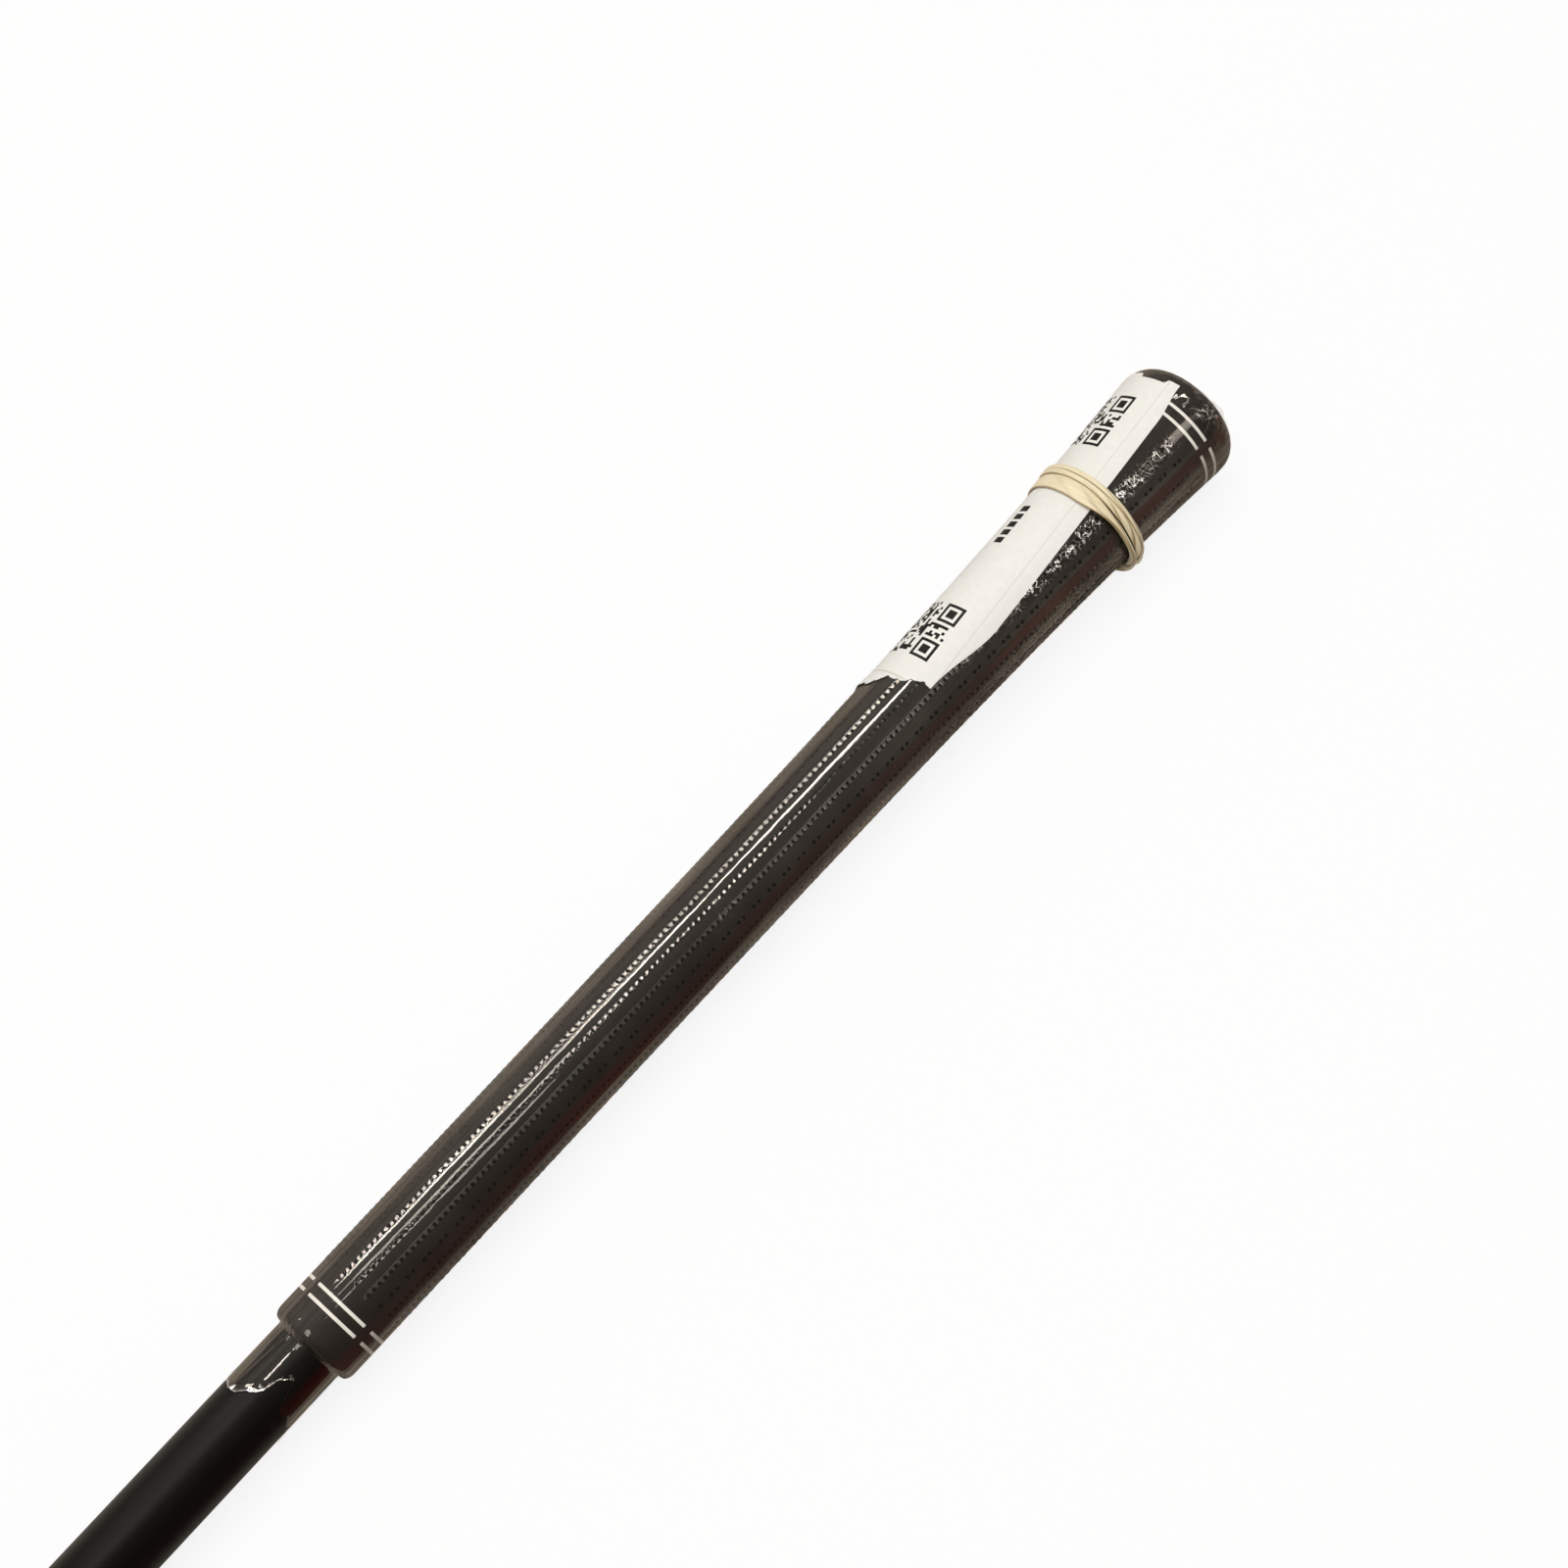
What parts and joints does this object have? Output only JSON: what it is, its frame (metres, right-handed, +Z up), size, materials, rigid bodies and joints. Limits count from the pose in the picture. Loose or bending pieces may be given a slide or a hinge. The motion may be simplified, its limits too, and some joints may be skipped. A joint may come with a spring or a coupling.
{
  "type": "golf club",
  "caption": "Golf wedge lying flat: steel blade head, black stepped steel shaft and flared rubber grip still in clear transit film, with a paper label and a rubber band.",
  "frame": {"origin": "bottom centre of the box round the whole club as it lies on the floor", "axes": "+X along the club towards the butt of the grip, +Z up from the floor, +Y to the side where the head's toe lies"},
  "size_m": [0.922, 0.102, 0.0424],
  "materials": {
    "black_rubber": "matte, moulded with fine rows of dashes",
    "cap_rubber": "matte",
    "white_inlay": "satin paint",
    "tape_paper": "matte",
    "black_steel": "satin black",
    "black_plastic": "gloss",
    "satin_steel": "satin",
    "clear_film": "clear gloss",
    "white_paper": "matte",
    "cream_rubber": "matte"
  },
  "bodies": {
    "root": {"grip_sleeve": "black_rubber", "grip_end_cap": "cap_rubber", "grip_tape": "tape_paper", "shaft": "black_steel", "ferrule": "black_plastic", "club_head": "satin_steel", "protective_film": "clear_film", "stock_label": "white_paper", "rubber_band": "cream_rubber", "cap_ring_outer_1": "white_inlay", "cap_ring_outer_2": "white_inlay", "cap_ring_outer_3": "white_inlay", "cap_ring_outer_4": "white_inlay", "cap_ring_inner_1": "white_inlay", "cap_ring_inner_2": "white_inlay", "cap_ring_inner_3": "white_inlay", "cap_ring_inner_4": "white_inlay", "mouth_ring_upper_1": "white_inlay", "mouth_ring_upper_2": "white_inlay", "mouth_ring_upper_3": "white_inlay", "mouth_ring_upper_4": "white_inlay", "mouth_ring_lower_1": "white_inlay", "mouth_ring_lower_2": "white_inlay", "mouth_ring_lower_3": "white_inlay", "mouth_ring_lower_4": "white_inlay"}
  },
  "joints": []
}
